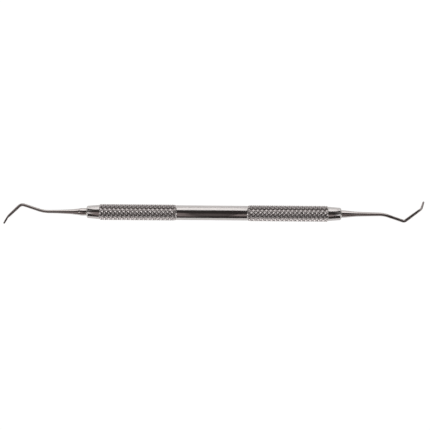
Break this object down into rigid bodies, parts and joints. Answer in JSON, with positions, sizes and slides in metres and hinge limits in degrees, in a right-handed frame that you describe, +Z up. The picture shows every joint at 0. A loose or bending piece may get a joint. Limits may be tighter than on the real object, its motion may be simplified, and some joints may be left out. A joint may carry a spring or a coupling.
{
  "type": "double-ended dental hand instrument",
  "caption": "Slim steel hand instrument with a knurled hollow handle, smooth waist, conical handle ends and a thin bent working end at each side.",
  "frame": {"origin": "under the middle of the bounding box, on the surface the instrument lies on", "axes": "+Z up; +X along the handle towards the right working end; +Y across, towards the side the left shank first bends to"},
  "size_m": [0.1712, 0.0106, 0.0065],
  "materials": {
    "handle_steel": "satin to bright stainless steel with a rolled diamond knurl",
    "cone_steel": "turned and polished stainless steel",
    "working_end_steel": "hardened stainless steel, finely ground and polished",
    "silver_solder": "smooth silver solder, slightly duller than the steel"
  },
  "bodies": {
    "root": {"handle_tube": "handle_steel", "left_end_cone": "cone_steel", "right_end_cone": "cone_steel", "left_braze_ring": "silver_solder", "right_braze_ring": "silver_solder", "left_working_end": "working_end_steel", "right_working_end": "working_end_steel"}
  },
  "joints": []
}
